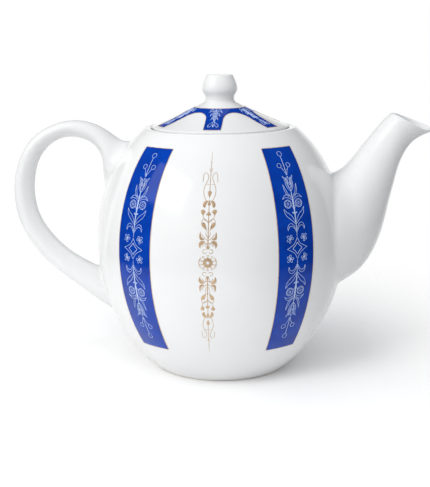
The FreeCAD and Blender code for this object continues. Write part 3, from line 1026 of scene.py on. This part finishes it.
class Nodes:
    """The node tree of a material or a world, with short calls for the nodes used here."""

    def __init__(self, owner, shader, coordinates):
        owner.use_nodes = True
        self.owner, self.tree = owner, owner.node_tree
        self.shader = self.tree.nodes[shader]
        self.where = self.add("ShaderNodeTexCoord").outputs[coordinates]

    def add(self, kind, **inputs):
        node = self.tree.nodes.new(kind)
        self.fill(node, **inputs)
        return node

    def fill(self, node, **inputs):
        for name, value in inputs.items():
            self.set(node.inputs[name.replace("_", " ")], value)

    def set(self, socket, value):
        if isinstance(value, bpy.types.NodeSocket):
            self.tree.links.new(value, socket)
        else:
            socket.default_value = value

    def axis(self, name):
        return self.add("ShaderNodeSeparateXYZ", Vector=self.where).outputs[name]

    def noise(self, scale, detail=3.0, roughness=0.5):
        look = {"Scale": scale, "Detail": detail, "Roughness": roughness}
        return self.add("ShaderNodeTexNoise", Vector=self.where, **look).outputs["Fac"]

    def ramp(self, fac, *stops):
        node = self.add("ShaderNodeValToRGB", Fac=fac)
        elements = node.color_ramp.elements
        for element, (position, colour) in zip((elements[0], elements[1]), (stops[0], stops[-1])):
            element.position, element.color = position, (*colour, 1)
        for position, colour in stops[1:-1]:
            elements.new(position).color = (*colour, 1)
        return node.outputs["Color"]

    def span(self, fac, low, high, start=0.3, end=0.7):
        """Value that goes from low to high as the factor goes from start to end."""
        limits = {"From_Min": start, "From_Max": end, "To_Min": low, "To_Max": high}
        return self.add("ShaderNodeMapRange", Value=fac, **limits).outputs["Result"]

    def mix(self, fac, a, b, kind="RGBA"):
        node = self.add("ShaderNodeMix")
        node.data_type = kind
        first, second, result = MIX_SOCKETS[kind]
        for key, value in ((0, fac), (first, a), (second, b)):
            self.set(node.inputs[key], value)
        return node.outputs[result]

    def length(self, vector):
        node = self.add("ShaderNodeVectorMath")
        node.operation = "LENGTH"
        self.set(node.inputs[0], vector)
        return node.outputs["Value"]

    def maths(self, operation, *values):
        node = self.add("ShaderNodeMath")
        node.operation = operation
        for socket, value in zip(node.inputs, values):
            self.set(socket, value)
        return node.outputs[0]

    def bump(self, height, distance, strength):
        node = self.add("ShaderNodeBump", Height=height, Distance=distance, Strength=strength)
        self.set(self.shader.inputs["Normal"], node.outputs["Normal"])

    def finish(self, **inputs):
        """Set or link the shader's own inputs, and give the finished material or world."""
        self.fill(self.shader, **inputs)
        return self.owner


def new_material(name):
    return Nodes(bpy.data.materials.new(name), "Principled BSDF", "Object")


def porcelain():
    m = new_material("glazed_porcelain")
    glaze = m.ramp(m.noise(22.0), (0.3, (0.715, 0.72, 0.727)), (0.7, (0.75, 0.752, 0.755)))
    specks = m.ramp(m.noise(900.0, 1.0), (0.80, (0.0, 0.0, 0.0)), (0.86, (1.0, 1.0, 1.0)))
    glaze = m.mix(specks, glaze, (0.70, 0.69, 0.66, 1))
    # The foot ring is wiped bare of glaze
    bare = m.span(m.axis("Z"), 1.0, 0.0, 0.0004, 0.0011)
    biscuit = m.ramp(m.noise(700.0, 4.0), (0.35, (0.60, 0.57, 0.52)), (0.7, (0.74, 0.71, 0.66)))
    gloss = m.span(m.noise(60.0, 4.0), 0.05, 0.12)
    roughness = m.mix(bare, gloss, (0.6, 0.6, 0.6, 1))
    m.bump(m.noise(45.0, 2.0), 0.0004, 0.25)
    return m.finish(Base_Color=m.mix(bare, glaze, biscuit), Roughness=roughness, IOR=1.52)


def cobalt():
    m = new_material("cobalt_transfer")
    wash = m.noise(130.0, 5.0, 0.6)
    pale, mid, deep = (0.002, 0.052, 0.40), (0.001, 0.041, 0.34), (0.001, 0.030, 0.27)
    blue = m.ramp(wash, (0.3, deep), (0.55, mid), (0.75, pale))
    gloss = m.span(m.noise(250.0, 4.0), 0.06, 0.14)
    m.bump(m.noise(300.0), 0.00005, 0.3)
    return m.finish(Base_Color=blue, Roughness=gloss, IOR=1.5, Specular_IOR_Level=0.38)


def gold():
    m = new_material("gold_lustre")
    worn = m.noise(500.0, 4.0, 0.6)
    lustre = m.ramp(worn, (0.3, (0.46, 0.31, 0.18)), (0.7, (0.62, 0.445, 0.28)))
    m.bump(worn, 0.00003, 0.3)
    return m.finish(Base_Color=lustre, Roughness=m.span(worn, 0.25, 0.42), Metallic=0.3)


def line_white():
    m = new_material("line_enamel")
    wash = m.noise(350.0, 3.0, 0.6)
    pale = m.ramp(wash, (0.3, (0.34, 0.46, 0.74)), (0.7, (0.50, 0.60, 0.82)))
    m.bump(wash, 0.00003, 0.3)
    return m.finish(Base_Color=pale, Roughness=m.span(wash, 0.2, 0.4))


PORCELAIN, COBALT, GOLD, LINE_WHITE = porcelain(), cobalt(), gold(), line_white()

# Pieces

body = make_piece("body", turned(body_outline()), PORCELAIN, "pot", "porcelain", "body_shell")
drill(body, strainer_holes())
make_piece("spout_tube", spout_shape(), PORCELAIN, "pot", "porcelain", "spout")
make_piece("handle_loop", handle_shape(), PORCELAIN, "pot", "porcelain", "handle")
lid = make_piece("lid", turned(lid_outline()), PORCELAIN, "lid", "porcelain", "lid_dome")
drill(lid, [vent_hole()])
make_piece("skirt", turned(skirt_outline(), closed=True), PORCELAIN, "lid", "porcelain", "lid_skirt")
make_piece("knob", turned(knob_outline()), PORCELAIN, "lid", "porcelain", "lid_knob")
add_band()
add_panel("front_right", RIGHT_AT, *RIGHT)
add_panel("front_left", LEFT_AT, *LEFT)
add_panel("back_left", RIGHT_AT + OPPOSITE, *RIGHT)
add_panel("back_right", LEFT_AT + OPPOSITE, *LEFT)
add_gold("front", GOLD_AT)
add_gold("back", GOLD_AT + OPPOSITE)

# Floor, in metres

FLOOR_R = 0.42
FLOOR_FADE = 0.17
FLOOR_SHIFT = (-0.03, 0.08, 0.0)
FLOOR_OVAL = (1.0, 1.35, 1.0)
# The floor fades sooner on the right: painted light over the far end of the pot's shadow
FLOOR_RIGHT = (0.085, 0.18)
FLOOR_SIDES = 128
TABLE_R = 0.32
TABLE_RIM = 0.006
TABLE_FADE = 0.16
# The table's dimming towards its rim and on the right is painted shade in reflections
TABLE_DIM = 0.3
TABLE_RIGHT = (0.03, 0.13)
TABLE_RIGHT_DIM = 0.5


def floor_material():
    """Pale matt sheet that fades out towards its rim, and sooner on the right as painted light over the far
    end of the pot's shadow; reflections see a smaller round table instead, with painted shade towards its
    rim and on the right.
    """
    m = new_material("pale_floor")
    grain = m.noise(4.0)
    pale = m.ramp(grain, (0.3, (0.94, 0.94, 0.94)), (0.7, (0.96, 0.96, 0.96)))
    near = m.add("ShaderNodeMapping", Vector=m.where, Location=FLOOR_SHIFT, Scale=FLOOR_OVAL)
    fade = m.span(m.length(near.outputs["Vector"]), 1.0, 0.0, FLOOR_FADE, FLOOR_R)
    # The sooner fade on the right is painted light: it whitens the far end of the pot's cast shadow
    seen = m.maths("MULTIPLY", fade, m.span(m.axis("X"), 1.0, 0.0, *FLOOR_RIGHT))
    out = m.length(m.where)
    rim = m.span(out, 1.0, 0.0, TABLE_R - TABLE_RIM, TABLE_R)
    # Reflections see the table darker towards its rim and on its right side: painted shade
    table = m.maths("MULTIPLY", rim, m.span(out, 1.0, TABLE_DIM, TABLE_FADE, TABLE_R))
    table = m.maths("MULTIPLY", table, m.span(m.axis("X"), 1.0, TABLE_RIGHT_DIM, *TABLE_RIGHT))
    mirrored = m.add("ShaderNodeLightPath").outputs["Is Glossy Ray"]
    shown = m.mix(mirrored, seen, table, "FLOAT")
    roughness = m.span(grain, 0.6, 0.8)
    return m.finish(Base_Color=pale, Roughness=roughness, Specular_IOR_Level=0.1, Alpha=shown)


def add_floor():
    mesh = bpy.data.meshes.new("floor")
    turns = [k * 2 * math.pi / FLOOR_SIDES for k in range(FLOOR_SIDES)]
    rim = [(FLOOR_R * math.cos(t), FLOOR_R * math.sin(t), 0) for t in turns]
    mesh.from_pydata(rim, [], [tuple(range(FLOOR_SIDES))])
    mesh.materials.append(floor_material())
    floor = add_object("floor", mesh)


add_floor()

# Light

SKY_FILL = 0.5
SKY_DARK, SKY_BRIGHT = -0.47, 0.48
SKY_BEHIND = (0.5, 0.85)
SKY_LOWERING = -1.2
WARM, COOL = (1.0, 0.995, 0.98), (0.93, 0.965, 1.0)
LAMP_AIM = Vector((0, 0, 0.07))


def studio_sky():
    """White to the camera and dimmer as a light; in reflections, white only low behind the pot."""
    m = Nodes(bpy.data.worlds.new("studio"), "Background", "Generated")
    rays = m.add("ShaderNodeLightPath").outputs
    above = m.maths("MAXIMUM", m.axis("Z"), 0.0)
    behind = m.maths("MULTIPLY_ADD", above, SKY_LOWERING, m.axis("Y"))
    change = m.span(behind, SKY_DARK, SKY_BRIGHT, *SKY_BEHIND)
    light = m.maths("MULTIPLY_ADD", rays["Is Glossy Ray"], change, SKY_FILL)
    strength = m.maths("MAXIMUM", rays["Is Camera Ray"], light)
    return m.finish(Strength=strength, Color=(1.0, 1.0, 1.0, 1.0))


def softbox(name, azimuth, elevation, distance, width, height, strength, colour, mirrored=False):
    """Flat light that faces the pot; the azimuth goes from the camera's side towards the spout."""
    light = bpy.data.lights.new(name, "AREA")
    light.shape, light.size, light.size_y = "RECTANGLE", width, height
    light.energy = math.pi * width * height * strength
    light.color = colour
    a, e = math.radians(azimuth), math.radians(elevation)
    way = Vector((math.sin(a) * math.cos(e), -math.cos(a) * math.cos(e), math.sin(e)))
    lamp = add_object(name, light)
    lamp.location = LAMP_AIM + way * distance
    lamp.visible_glossy = mirrored
    lamp.rotation_mode = "QUATERNION"
    lamp.rotation_quaternion = (-way).to_track_quat("-Z", "Y")


bpy.context.scene.world = studio_sky()
softbox("key", -42, 30, 1.3, 0.5, 0.8, 6.1, WARM)
softbox("window", -58, 35, 1.3, 0.95, 0.6, 1.6, WARM, mirrored=True)
softbox("front", 18, 17, 1.3, 1.0, 0.7, 1.02, COOL)
softbox("front_high", 10, 65, 1.3, 1.0, 0.5, 0.62, COOL)
softbox("left", -115, 28, 1.3, 0.8, 0.6, 0.62, WARM)
softbox("top", 0, 89, 1.4, 2.0, 2.0, 0.56, COOL)
softbox("top_left", -90, 68, 1.3, 0.8, 0.8, 0.36, WARM)
softbox("back", 150, 22, 1.3, 1.0, 0.7, 0.40, COOL)

# Camera, in pixels, millimetres and degrees, with its roll in radians

IMAGE_W, IMAGE_H = 430, 487
FOCAL_PX = 930.3
AXIS_PX = 220.89
DISTANCE = 520.0
HEIGHT = 188.23
AZIMUTH = 2.5
PITCH = 12.96
ROLL = 0.0075
SENSOR = 36.0


def swung(a, b, angle):
    """Two square axes turned in their plane, the first towards the second."""
    return a * math.cos(angle) + b * math.sin(angle), b * math.cos(angle) - a * math.sin(angle)


def add_camera():
    """The camera as it was fitted to the photograph, with the pot's axis at its pixel column."""
    turn, pitch = math.radians(AZIMUTH), math.radians(PITCH)
    right = Vector((math.cos(turn), math.sin(turn), 0))
    ahead = Vector((-math.sin(turn) * math.cos(pitch), math.cos(turn) * math.cos(pitch), -math.sin(pitch)))
    right, up = swung(right, right.cross(ahead), -ROLL)
    right, ahead = swung(right, ahead, math.atan((AXIS_PX - IMAGE_W / 2) / FOCAL_PX))
    lens = bpy.data.cameras.new("camera")
    lens.sensor_width = SENSOR
    lens.lens = FOCAL_PX * SENSOR / max(IMAGE_W, IMAGE_H)
    camera = add_object("camera", lens)
    place = Vector((DISTANCE * math.sin(turn), -DISTANCE * math.cos(turn), HEIGHT)) * MM
    camera.matrix_world = Matrix.Translation(place) @ Matrix((right, up, -ahead)).transposed().to_4x4()
    return camera


bpy.context.scene.camera = add_camera()
bpy.context.scene.view_settings.view_transform = "Standard"
